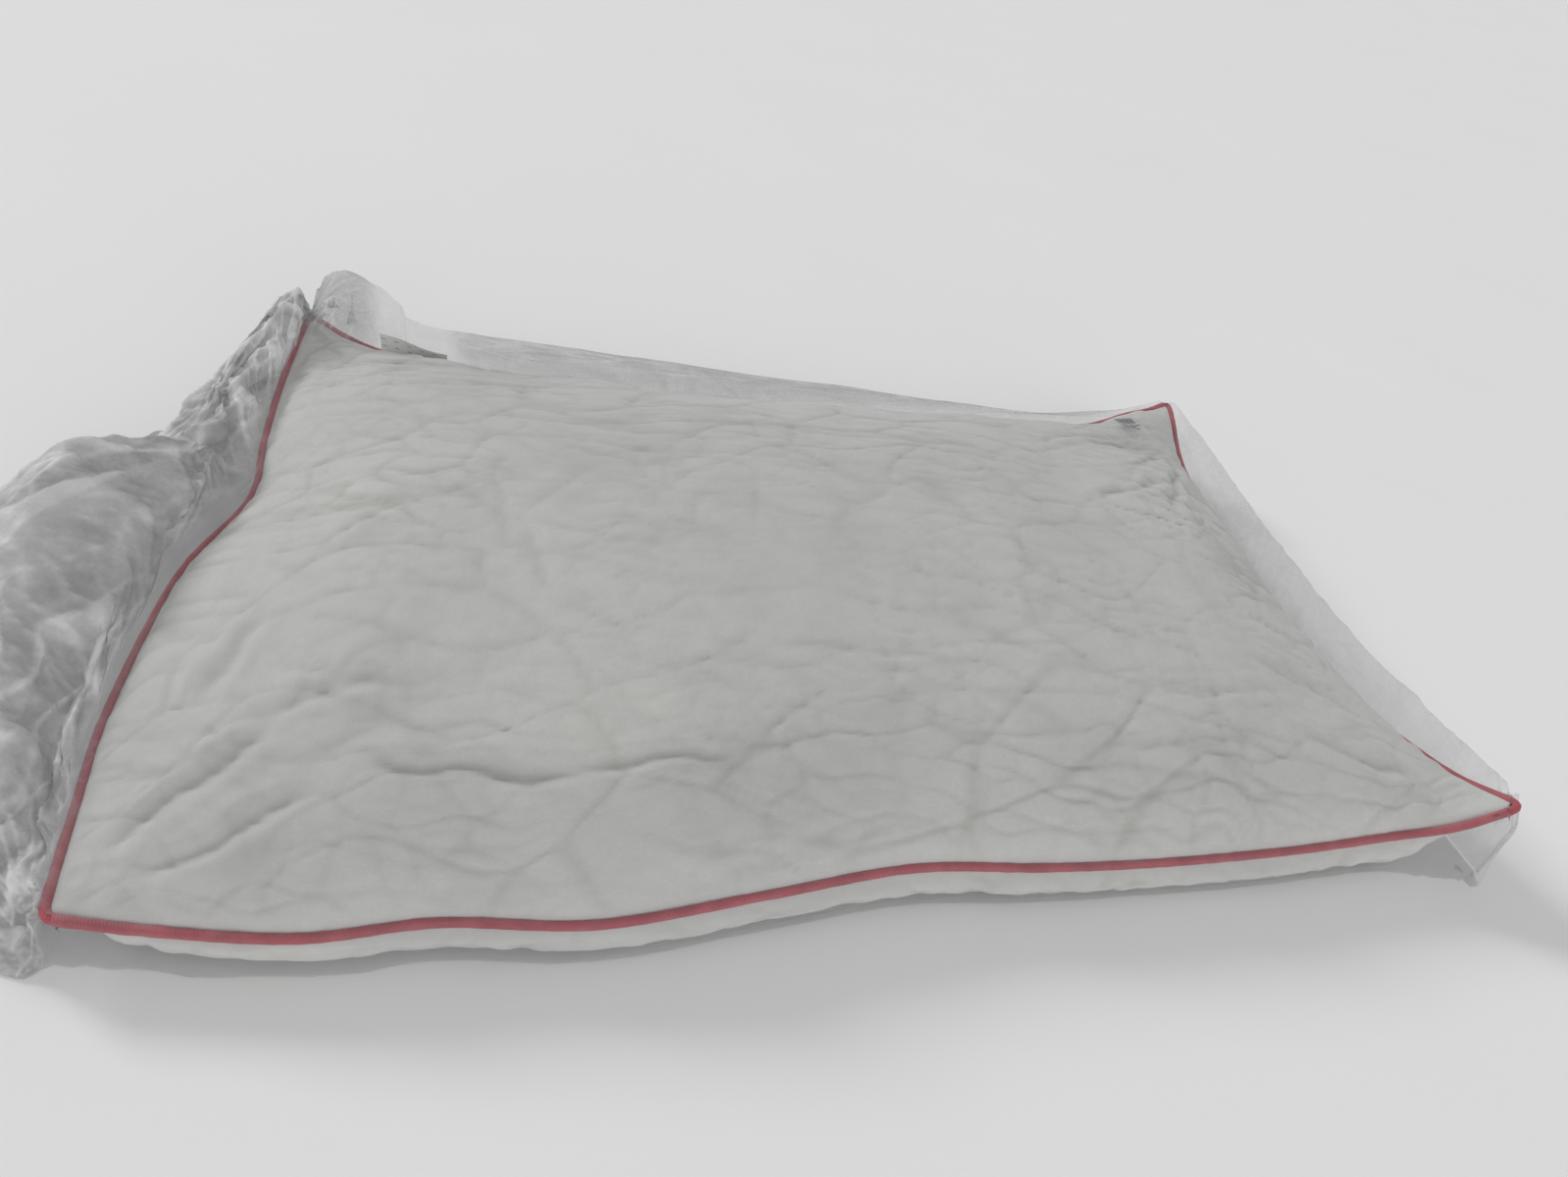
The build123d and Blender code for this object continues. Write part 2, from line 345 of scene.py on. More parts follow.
def drawn_creases(place):
    """How deep the drawn creases are at each place, in metres, with a lip on both sides."""
    depth = np.zeros(len(place))
    wander = CREASE_WANDER * np.stack([soft_noise(place, 28 * MM, 51), soft_noise(place, 28 * MM, 52)], 1)
    moved = place + wander
    for start, end, fall, width in CREASES:
        a, b = np.array(start) * MM, np.array(end) * MM
        along = (moved - a) @ (b - a) / ((b - a) @ (b - a))
        along = np.clip(along, 0, 1)
        off = np.hypot(*(moved - a - along[:, None] * (b - a)).T) / (CREASE_WIDTH_SCALE * width * MM)
        taper = np.clip(1 - (2 * along - 1) ** 4, 0.15, 1)
        groove = np.exp(-off**2 * 2.2) - 0.45 * np.exp(-((off - 1.5) ** 2) * 1.6)
        depth += CREASE_DEPTH_SCALE * fall * MM * taper * groove
    return depth


# ---- Pillow casing: blown up from panels cut a little large, then creased ----
SIDE = (CASING_GRID[0] + 1, CASING_GRID[1] + 1)
points, faces, seam_loop, flat_cut, upper_count = closed_casing()
casing = new_object("pillow_casing", points, faces)
on_seam = np.zeros(len(points))
on_seam[seam_loop] = 1
settle(casing, SETTLE_FRAMES, on_seam, flat_cut * [CASING_EASE, CASING_EASE, 1],
       pressure=CASING_PRESSURE)


LOWEST_CLOTH = BELLY_Z + 0.3 * MM
BULGE = 15 * MM              # how far the lower panel sags out under the near seam
BULGE_REACH = 90 * MM        # how far in from the seam that is felt
BULGE_LIMIT = -0.2625        # the furthest that it may reach towards -Y
HOLLOW = [((331, 215), 26, 13), ((284, 158), 34, -11)]     # (middle, reach, rise), in mm


def rest_on_floor(places):
    """Presses whatever has sunk below the resting face flat against it."""
    low, soft = LOWEST_CLOTH, 12 * MM
    sunk = places[:, 2] < low + soft
    places[sunk, 2] = low + soft * np.exp(-(low + soft - places[sunk, 2]) / soft)
    return places


def below_crown(places):
    """Lowers the upper panel evenly until its top is just under the CAD crown."""
    limit = CROWN_Z - MM
    over = (limit - SEAM_Z) / max(places[:, 2].max() - SEAM_Z, limit - SEAM_Z)
    high = (np.arange(len(places)) < upper_count) & (places[:, 2] > SEAM_Z)
    places[high, 2] = SEAM_Z + (places[high, 2] - SEAM_Z) * over
    return places


def bulge_near_wall(places):
    """Lets the lower panel sag out under the near seam, so that it stands on its own fold."""
    seam = MM * smooth_curve(NEAR_SEAM, np.linspace(0, 1, 400))
    seam_y, seam_z = (np.interp(places[:, 0], seam[:, 0], seam[:, k]) for k in (1, 2))
    inward = places[:, 1] - seam_y
    hangs = (np.arange(len(places)) >= upper_count) & (inward < BULGE_REACH)
    ends = smoothstep(-0.39, -0.355, places[:, 0]) * smoothstep(0.362, 0.31, places[:, 0])
    low = LOWEST_CLOTH
    drop = np.clip((seam_z - places[:, 2]) / (seam_z - low), 0, 1)
    out = (BULGE * np.sin(np.clip(drop * 1.9, 0, 1) * np.pi / 2)
           * smoothstep(BULGE_REACH, 25 * MM, inward))
    moved = places.copy()
    moved[:, 1] = np.maximum(places[:, 1] - out * ends, BULGE_LIMIT)
    pressed = smoothstep(2 * MM, 26 * MM, inward) * smoothstep(BULGE_REACH, 40 * MM, inward) * ends
    moved[:, 2] = low + (places[:, 2] - low) * (1 - 0.75 * pressed)
    places[hangs] = moved[hangs]
    return places


def hollow_before_far_ear(places):
    """The cloth dips before the far right ear and then rises to it."""
    upper = np.arange(len(places)) < upper_count
    for (x, y), reach, rise in HOLLOW:
        off = np.hypot(places[:, 0] - x * MM, places[:, 1] - y * MM) / (reach * MM)
        places[:, 2] += np.where(upper, rise * MM * np.exp(-off**2), 0)
    return places


shape = rest_on_floor(below_crown(hollow_before_far_ear(vertices_of(casing))))
tucked = shape.copy()
shape = bulge_near_wall(shape)
bulge = shape - tucked
set_vertices(casing, shape)
plan = shape[:, :2].copy()
is_upper = np.arange(len(shape)) < upper_count
lumps = 3.4 * MM * soft_noise(plan, 78 * MM, 61) + 1.5 * MM * soft_noise(plan, 33 * MM, 62)
wrinkle = np.where(is_upper, lumps + drawn_creases(plan), 0.5 * lumps)
seam_tree = point_tree(shape[seam_loop])


def from_seam(places):
    """How far each place is from the seam."""
    return np.array([seam_tree.find(p)[2] for p in places])


edge = from_seam(shape)
# Puckers run in from the seam, where the stitches gather the cloth.
PUCKER = 1.1 * MM
along_seam = np.where(np.abs(plan[:, 1]) > np.abs(plan[:, 0]) * 0.64, plan[:, 0], plan[:, 1])
gather = np.sin(along_seam / (3.1 * MM) + 3.5 * soft_noise(plan, 46 * MM, 31))
strength = np.clip(0.5 + 1.1 * soft_noise(plan, 60 * MM, 32), 0, 1)
pucker = PUCKER * gather * strength
wrinkle = (wrinkle * smoothstep(4 * MM, 30 * MM, edge)
           + pucker * smoothstep(42 * MM, 12 * MM, edge) * smoothstep(0, 7 * MM, edge))
shape -= normals_of(casing) * wrinkle[:, None]
set_vertices(casing, shape)
casing_normals = normals_of(casing)
casing_tree = BVHTree.FromPolygons([tuple(p) for p in shape], faces)
seam_points = shape[seam_loop].copy()

# ---- Fibre fill: a closed body inside the casing, drawn back from the seam ----
def body_inside(margin, clearance):
    """The casing's two surfaces without their outer cells, brought closer and joined."""
    nx, ny = CASING_GRID
    within = shape - bulge
    upper = within[:upper_count].reshape(*SIDE, 3)[margin:-margin, margin:-margin].copy()
    lower = np.zeros((*SIDE, 3))
    lower[1:-1, 1:-1] = within[upper_count:].reshape(nx - 1, ny - 1, 3)
    lower = lower[margin:-margin, margin:-margin].copy()
    centre = (upper + lower) / 2
    half = np.maximum((upper - lower)[..., 2] / 2 - clearance, 0.3 * MM)
    plan_centre = centre[..., :2]
    upper[..., :2] = lower[..., :2] = plan_centre
    upper[..., 2], lower[..., 2] = centre[..., 2] + half, centre[..., 2] - half
    m, n = upper.shape[:2]
    top = np.arange(m * n).reshape(m, n)
    low = top + m * n
    quads = grid_quads(top)
    quads += [(low[i, j], low[i, j + 1], low[i + 1, j + 1], low[i + 1, j])
              for i in range(m - 1) for j in range(n - 1)]
    rim = [(i, 0) for i in range(m - 1)] + [(m - 1, j) for j in range(n - 1)]
    rim += [(i, n - 1) for i in range(m - 1, 0, -1)] + [(0, j) for j in range(n - 1, 0, -1)]
    quads += [(low[a], low[b], top[b], top[a]) for a, b in zip(rim, rim[1:] + rim[:1])]
    return np.vstack([upper.reshape(-1, 3), lower.reshape(-1, 3)]), [tuple(map(int, q)) for q in quads]


FILL_MARGIN = 9              # cells of the casing that the fill leaves out along the seam
FILL_CLEARANCE = 4.5 * MM
fill = new_object("fibre_fill_body", *body_inside(FILL_MARGIN, FILL_CLEARANCE))
subdivide(casing)

# Fine creases need the finer mesh. The underside reads them elsewhere, so that the sides differ.
fine = vertices_of(casing)
fine_plan = fine[:, :2] + np.where(normals_of(casing)[:, 2] > 0, 0.0, 3.0)[:, None]
creased = crumple_layers(fine_plan, FINE_CREASES)
creased *= smoothstep(1 * MM, 12 * MM, from_seam(fine))
fine -= normals_of(casing) * (MM * creased)[:, None]
set_vertices(casing, fine)
# The crease mask darkens the cotton's colour along the creases: painted shade in the folds.
drawn = drawn_creases(fine[:, :2]) / MM * (normals_of(casing)[:, 2] > 0)
spread(casing, crease=np.clip(creased / 2.2 + np.clip(drawn, 0, 4) / 5, 0, 1))


# ---- Piping, its cord and the seam threads ----
def even_loop(loop, step, passes):
    """A closed line again, with points step apart and its corners rounded."""
    closed = np.vstack([loop, loop[:1]])
    run = np.concatenate([[0], np.cumsum(np.linalg.norm(np.diff(closed, axis=0), axis=1))])
    at = np.linspace(0, run[-1], int(run[-1] / step) + 1)[:-1]
    line = np.stack([np.interp(at, run, closed[:, k]) for k in range(3)], 1)
    for _ in range(passes):
        line = 0.5 * line + 0.25 * (np.roll(line, 1, 0) + np.roll(line, -1, 0))
    return line


def outward_of(line):
    """Level directions out of a closed line that runs anticlockwise from above."""
    ahead = np.roll(line, -1, 0) - np.roll(line, 1, 0)
    out = np.stack([ahead[:, 1], -ahead[:, 0], np.zeros(len(line))], 1)
    return out / np.linalg.norm(out, axis=1)[:, None]


def tube(name, line, radius, sides, closed=True, uneven=0.0):
    """A round tube along a line that is never upright, with its run and turn as attributes."""
    ahead = (np.roll(line, -1, 0) - np.roll(line, 1, 0)) if closed else np.gradient(line, axis=0)
    ahead /= np.linalg.norm(ahead, axis=1)[:, None]
    across = np.cross(ahead, [0, 0, 1])
    across /= np.linalg.norm(across, axis=1)[:, None]
    above = np.cross(across, ahead)
    run = np.concatenate([[0], np.cumsum(np.linalg.norm(np.diff(line, axis=0), axis=1))])
    turn = np.linspace(0, 2 * np.pi, sides, endpoint=False)
    size = radius * (1 + uneven * np.array([noise.noise(Vector((r / (7 * MM), 0, 4.2))) for r in run]))
    ring = (line[:, None] + size[:, None, None] * (np.cos(turn)[None, :, None] * across[:, None]
                                                   + np.sin(turn)[None, :, None] * above[:, None]))
    count, spans = len(line), len(line) if closed else len(line) - 1
    quads = [(i * sides + j, i * sides + (j + 1) % sides, (i + 1) % count * sides + (j + 1) % sides,
              (i + 1) % count * sides + j) for i in range(spans) for j in range(sides)]
    if not closed:
        quads += [tuple(range(sides))[::-1], tuple((count - 1) * sides + j for j in range(sides))]
    piece = new_object(name, ring.reshape(-1, 3), quads)
    spread(piece, run=np.repeat(run, sides), turn=np.tile(turn, count))
    return piece


PIPING_UNEVEN = 0.10         # how much the piping's radius varies, as a share of it
PIPING_OUT = 1.4 * MM        # the piping's middle out from the seam
THREAD_R = 0.3 * MM
seam_line = even_loop(seam_points, 2.4 * MM, 5)
seam_out = outward_of(seam_line)
piping_line = seam_line + PIPING_OUT * seam_out
piping = tube("piping_strip", piping_line, PIPING_R, 14, uneven=PIPING_UNEVEN)
core = tube("piping_core", piping_line, 0.62 * PIPING_R, 8)
thread_line = even_loop(seam_points, 5 * MM, 6)
thread_out = outward_of(thread_line)


def thread_route(inset, height):
    """A seam thread's route, inset and height in mm from the seam, but never above the cloth."""
    line = thread_line - inset * MM * thread_out + [0, 0, height * MM]
    for k, (x, y, _) in enumerate(line):
        top = casing_tree.ray_cast(Vector((x, y, ABOVE_ALL)), Vector((0, 0, -1)))[0]
        line[k, 2] = min(line[k, 2], top.z - (2.6 - height) * MM)
    return line


needle = tube("needle_stitches", thread_route(9, 1.7), THREAD_R, 6)
bobbin = tube("bobbin_stitches", thread_route(9, -1.7), THREAD_R, 6)
left_run = (thread_line[:, 0] < -0.33) & (np.abs(thread_line[:, 1]) < 0.13)
closing = tube("closing_stitches", thread_route(12, 1.7)[left_run] + [0, 0, 0.7 * MM], THREAD_R, 6,
               closed=False)

# ---- Film bag: taut over the pillow, standing free between the ears, crumpled at its open end ----
NEAR_RINGS, FAR_RINGS, RIGHT_RINGS, LOOSE_COLUMNS, SPAN_RINGS = 14, 14, 14, 60, 4
LEVEL_PASSES = 260           # how often the film is levelled between its held points
FILM_GAP = 1.3 * MM          # film above cloth
FLOOR_FILM = 1.0 * MM        # height of the film's foot
LOWEST_FILM = 0.6 * MM
LOWER_FILM_Z = 0.35 * MM
FILM_CELL = (2.7 * MM, 4.6 * MM)        # one cell of the film's grid, laid flat
FILM_X, FILM_Y, FILM_TOP = (-0.545, 0.392), (-0.264, 0.264), 0.104     # what the film stays within
FAR_FILM = [(-350, 256, 84), (-322, 252, 94), (-290, 246, 76), (-272, 240, 62), (-149, 232, 58),
            (-34, 228, 50), (82, 224, 38), (208, 224, 38), (300, 228, 46), (370, 238, 62)]
RIGHT_FILM = [(380, -230, 66), (377, -150, 56), (376, -57, 48), (374, 50, 50), (373, 150, 56),
              (370, 238, 62)]
# Across the loose end, near side to far side: its valley, its ridge, its foot and its mouth.
VALLEY = [(-396, -258, 1), (-400, -225, 24), (-404, -150, 30), (-400, -60, 42), (-384, 20, 55),
          (-383, 90, 62), (-375, 180, 66), (-356, 244, 86), (-350, 260, 40), (-350, 262, 1)]
RIDGE = [(-430, -240, 1), (-434, -200, 30), (-440, -130, 54), (-442, -60, 82), (-425, 10, 88),
         (-382, 70, 62), (-400, 130, 62), (-390, 200, 60), (-358, 250, 66), (-356, 262, 1)]
FOOT = [(-470, -215, 1), (-476, -180, 22), (-482, -120, 42), (-482, -60, 62), (-470, 10, 62),
        (-450, 60, 40), (-428, 120, 25), (-410, 190, 12), (-388, 244, 6), (-372, 262, 1)]
MOUTH = [(-505, -195, 1), (-513, -160, 18), (-518, -110, 32), (-519, -60, 40), (-513, 0, 36),
         (-490, 50, 18), (-458, 110, 8), (-424, 150, 4), (-408, 205, 3), (-386, 258, 1)]


def film_places():
    """The film as one grid, from the mouth to the right side and from near to far."""
    nx, ny = CASING_GRID
    upper = shape[:upper_count].reshape(*SIDE, 3)
    normals = casing_normals[:upper_count].reshape(*SIDE, 3)
    columns, rows = nx + 1 + RIGHT_RINGS, NEAR_RINGS + ny + 1 + FAR_RINGS
    i = np.clip(np.arange(columns), 0, nx)[:, None] + np.zeros(rows, int)[None, :]
    j = np.clip(np.arange(rows) - NEAR_RINGS, 0, ny)[None, :] + np.zeros(columns, int)[:, None]
    out_x = (np.arange(columns) - nx).clip(0)[:, None] + np.zeros(rows)[None, :]
    step_y = np.arange(rows)[None, :] - NEAR_RINGS + np.zeros(columns)[:, None]
    out_y = np.where(step_y < 0, step_y, (step_y - ny).clip(0))
    ring = np.maximum(out_x, np.abs(out_y))
    way = np.stack([out_x, out_y, np.zeros_like(out_x)], 2)
    way /= np.maximum(np.linalg.norm(way, axis=2), 1e-9)[..., None]
    seat = upper[i, j]
    onto = seat + FILM_GAP * normals[i, j] + [0, 0, 0.3 * MM]
    on_piping = (ring > 0) | (i == nx) | (j == 0) | (j == ny) | (i == 0)
    onto[on_piping] = seat[on_piping] + [0, 0, PIPING_R + FILM_GAP]

    s, t = i / nx, j / ny
    near = (out_y < 0) & (out_x == 0)
    guide = seat + way * (PIPING_R + np.where(near, 1.9 * MM, 3.2 * MM))[..., None]
    far = (out_y > 0) & (out_x == 0)
    guide[far] = MM * smooth_curve(FAR_FILM, s[far])
    right = (out_x > 0) & (out_y == 0)
    guide[right] = MM * smooth_curve(RIGHT_FILM, t[right])
    guide[..., 2] = np.where(near, seat[..., 2] - 1.0 * MM, guide[..., 2])

    depth = np.full_like(ring, RIGHT_RINGS)
    reach = np.clip(ring / SPAN_RINGS, 0, 1)[..., None]
    places = onto * (1 - reach) + guide * reach
    fall = np.clip((ring - SPAN_RINGS) / (depth - SPAN_RINGS), 0, 1)
    places += way * (np.where(near, 0.5 * MM, 5 * MM) * fall**2)[..., None]
    places[..., 2] = places[..., 2] * (1 - fall) + FLOOR_FILM * fall
    lowest = np.where(ring == 0, onto[..., 2], FLOOR_FILM)
    held = (ring >= SPAN_RINGS) | (out_y < 0)
    for _ in range(LEVEL_PASSES):
        z = np.pad(places[..., 2], 1, mode="edge")
        level = (z[:-2, 1:-1] + z[2:, 1:-1] + z[1:-1, :-2] + z[1:-1, 2:]) / 4
        places[..., 2] = np.where(held, places[..., 2], np.maximum(level, lowest))

    first = places[0]
    v = np.linspace(0, 1, rows)
    lines = [first] + [MM * smooth_curve(c, v) for c in (VALLEY, RIDGE, FOOT, MOUTH)]
    u = np.linspace(0, 1, LOOSE_COLUMNS + 1)[1:]
    loose = np.stack([smooth_curve([line[k] for line in lines], u) for k in range(rows)], 1)
    return np.concatenate([loose[::-1], places]), rows


film_grid, film_rows = film_places()
film_columns = len(film_grid)
film_index = np.arange(film_columns * film_rows).reshape(film_columns, film_rows)
film = new_object("bag_film_upper", film_grid.reshape(-1, 3), grid_quads(film_index))
film_shape = vertices_of(film)
film_normals = normals_of(film)
column = np.repeat(np.arange(film_columns), film_rows)
row = np.tile(np.arange(film_rows), film_columns)
looseness = smoothstep(LOOSE_COLUMNS + 1, LOOSE_COLUMNS - 8, column.astype(float))
sheet_place = np.stack([column * FILM_CELL[0], row * FILM_CELL[1]], 1)
big = crumple(sheet_place, (120 * MM, 30 * MM), 21, width=0.2, turn=0.9)
mid = crumple(sheet_place, (58 * MM, 15 * MM), 24, width=0.24, turn=-0.5)
small = crumple(sheet_place, (26 * MM, 9 * MM), 27, width=0.3, turn=0.35)
swell = soft_noise(sheet_place, 58 * MM, 33) + 0.5 * soft_noise(sheet_place, 24 * MM, 34)
lift_loose = 10 * MM * (big - 0.25) + 5 * MM * (mid - 0.25) + 1.2 * MM * small + 9 * MM * swell


def calm(v):
    """Less crumple at both ends of the loose end, where the film's rows crowd together."""
    return (0.12 + 0.88 * smoothstep(0.03, 0.17, v)) * (1 - 0.85 * smoothstep(0.72, 0.88, v))


lift_loose *= calm(row / film_rows)


def from_casing(places):
    """How far each place is from the casing."""
    return np.array([casing_tree.find_nearest(Vector(p))[3] for p in places])


gap_above = from_casing(film_shape)
more_where_free = 1 + 1.5 * smoothstep(2 * MM, 16 * MM, gap_above)
lift_taut = (0.6 * mid + 0.4 * small + 0.9 * big) * MM * more_where_free
film_shape += film_normals * (looseness * lift_loose + (1 - looseness) * lift_taut)[:, None]
for axis, (low, high) in enumerate((FILM_X, FILM_Y, (FLOOR_FILM, FILM_TOP))):
    film_shape[:, axis] = film_shape[:, axis].clip(low, high)
foot = (row == 0) | (row == film_rows - 1) | (column == film_columns - 1)
film_shape[foot & (column > LOOSE_COLUMNS), 2] = FLOOR_FILM
for k, p in enumerate(film_shape):
    near, normal, _, gap = casing_tree.find_nearest(Vector(p))
    if (Vector(p) - near).dot(normal) < FILM_GAP and gap < 30 * MM:
        film_shape[k] = near + normal * FILM_GAP
set_vertices(film, film_shape)
# Film that stands free shows greyer. It is clearer at the right side, near side and label.
standing = smoothstep(3 * MM, 15 * MM, from_casing(film_shape))
care_low, care_high = (np.array(c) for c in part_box("care_label"))
beside_label = (smoothstep(care_low[0] - 16 * MM, care_low[0] + 2 * MM, film_shape[:, 0])
                * smoothstep(care_high[0] + 16 * MM, care_high[0] - 2 * MM, film_shape[:, 0])
                * smoothstep(0.17, 0.2, film_shape[:, 1]))
standing *= 1 - 0.55 * smoothstep(0.31, 0.35, film_shape[:, 0])
on_near = smoothstep(NEAR_RINGS + 1, NEAR_RINGS - 2, row) * smoothstep(-0.41, -0.37, film_shape[:, 0])
standing *= 1 - 0.92 * on_near
beyond_ear = smoothstep(-0.25, -0.33, film_shape[:, 0]) * (row > NEAR_RINGS + CASING_GRID[1])
standing = np.maximum(standing, beyond_ear) * (1 - 0.85 * beside_label)
spread(film, loose=looseness, standing=standing, along=sheet_place[:, 0], athwart=sheet_place[:, 1])
subdivide(film)

fine_place = np.stack([attribute_of(film, "along"), attribute_of(film, "athwart")], 1)
fine_loose = attribute_of(film, "loose")
silk_folds = crumple_layers(fine_place, SILK_FOLDS)
fine_film = vertices_of(film)
fold_height = 0.25 + 2.2 * fine_loose * calm(fine_place[:, 1] / (film_rows * FILM_CELL[1]))
fine_film += normals_of(film) * (MM * silk_folds * fold_height)[:, None]
piping_axis = point_tree(piping_line)
CLEAR_OF_PIPING = (1 + PIPING_UNEVEN) * PIPING_R + 0.9 * MM
CLEAR_OF_CLOTH = 0.5 * MM
film_out = normals_of(film)
for k, p in enumerate(fine_film):
    axis, _, gap = piping_axis.find(p)
    if gap < CLEAR_OF_PIPING:
        away = (Vector(p) - axis) / CLEAR_OF_PIPING + 0.8 * Vector(film_out[k])
        fine_film[k] = axis + away.normalized() * CLEAR_OF_PIPING
    near, normal, _, gap = casing_tree.find_nearest(Vector(fine_film[k]))
    if gap < 6 * MM and (Vector(fine_film[k]) - near).dot(normal) < CLEAR_OF_CLOTH:
        fine_film[k] = near + normal * CLEAR_OF_CLOTH
fine_film[:, 2] = np.maximum(fine_film[:, 2], LOWEST_FILM)
set_vertices(film, fine_film)
# The fold heights also go on as the mask of the film's painted highlights along its ridges.
spread(film, streak=np.clip(silk_folds, 0, 1))
film_tree = BVHTree.FromPolygons([tuple(p) for p in fine_film],
                                 [tuple(q.vertices) for q in film.data.polygons])


def between_edges(near, far, left, right):
    """A sheet spanned by four edges, each an array of points."""
    s, t = (np.linspace(0, 1, len(a))[:, None, None] for a in (near, left))
    t = t.transpose(1, 0, 2)
    corners = ((1 - s) * (1 - t) * near[0] + s * (1 - t) * near[-1]
               + (1 - s) * t * far[0] + s * t * far[-1])
    return ((1 - t) * near[:, None] + t * far[:, None]
            + (1 - s) * left[None] + s * right[None] - corners)


grid = film_shape.reshape(film_columns, film_rows, 3)[::3, ::3]
floor_sheet = between_edges(grid[:, 0], grid[:, -1], grid[0], grid[-1])
floor_sheet[..., 2] = LOWER_FILM_Z
sheet_index = np.arange(floor_sheet[..., 2].size).reshape(floor_sheet.shape[:2])
lower_film = new_object("bag_film_lower", floor_sheet.reshape(-1, 3), grid_quads(sheet_index))


# ---- Labels ----
def patch(name, rows_of_points):
    """A sheet through a grid of points, with its place across it as attributes."""
    m, n = len(rows_of_points), len(rows_of_points[0])
    quads = grid_quads(np.arange(m * n).reshape(m, n))
    piece = new_object(name, [p for line in rows_of_points for p in line], quads)
    s, t = np.meshgrid(np.linspace(0, 1, m), np.linspace(0, 1, n), indexing="ij")
    spread(piece, across=s.ravel(), up=t.ravel())
    return piece


CARE_RISE = (21 * MM, 16 * MM)          # the label's height at its left and right ends
CARE_LEAN = 7 * MM
CARE_WAVE = 2.0 * MM
care_x = np.linspace(care_low[0], care_high[0], 33)
far_seam = MM * smooth_curve(FAR_SEAM, np.linspace(0, 1, 400))
care_rows = []
for x in care_x:
    root = far_seam[np.abs(far_seam[:, 0] - x).argmin()]
    wave = CARE_WAVE * math.sin((x - care_low[0]) * 130)
    share = (x - care_low[0]) / (care_high[0] - care_low[0])
    rise = CARE_RISE[0] + (CARE_RISE[1] - CARE_RISE[0]) * share
    care_rows.append([(x, root[1] - 1.5 * MM - CARE_LEAN * h**2 + wave * h, root[2] + rise * h)
                      for h in np.linspace(0, 1, 17)])
care = patch("care_label_ribbon", care_rows)

print_low, print_high = (np.array(c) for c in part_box("print_label"))
print_middle = (print_low + print_high)[:2] / 2


def on_film(x, y, above):
    """The point at a height above the film."""
    hit = film_tree.ray_cast(Vector((x, y, ABOVE_ALL)), Vector((0, 0, -1)))
    return (x, y, hit[0].z + above)


LABEL_ABOVE, INK_ABOVE = 0.35 * MM, 0.6 * MM
print_sheet = patch("print_label_clear", [
    [on_film(x, y, LABEL_ABOVE) for y in np.linspace(print_low[1], print_high[1], 25)]
    for x in np.linspace(print_low[0], print_high[0], 19)])


def marks(name, strips, above):
    """Thin printed strips on the film: each is (low x, low y, high x, high y)."""
    places, quads = [], []
    for x0, y0, x1, y1 in strips:
        cells = max(1, round(max(x1 - x0, y1 - y0) / (1.5 * MM)))
        long_x = x1 - x0 > y1 - y0
        start = len(places)
        for k in range(cells + 1):
            f = k / cells
            ends = (((x0 + (x1 - x0) * f, y0), (x0 + (x1 - x0) * f, y1)) if long_x
                    else ((x1, y0 + (y1 - y0) * f), (x0, y0 + (y1 - y0) * f)))
            places += [on_film(*end, above) for end in ends]
        quads += [(start + 2 * k, start + 2 * k + 2, start + 2 * k + 3, start + 2 * k + 1)
                  for k in range(cells)]
    return new_object(name, places, quads, smooth=False)


# Plain bars of uneven width over rows of plain dashes.
strips = []
x = print_low[0] + 2 * MM
for width in (1.2, 0.8, 1.6, 0.8, 1.1, 1.7, 0.8, 1.3, 0.8):
    strips.append((x, print_middle[1] + 1 * MM, x + width * MM, print_high[1] - 3 * MM))
    x += (width + 0.7) * MM
for line, lengths in enumerate([(6, 4, 5), (4, 7), (5, 3, 4)]):
    x = print_low[0] + 2 * MM
    y = print_middle[1] - (3 + 3.4 * line) * MM
    for length in lengths:
        strips.append((x, y, x + length * MM, y + 1.2 * MM))
        x += (length + 1.4) * MM
ink = marks("print_label_marks", strips, INK_ABOVE)


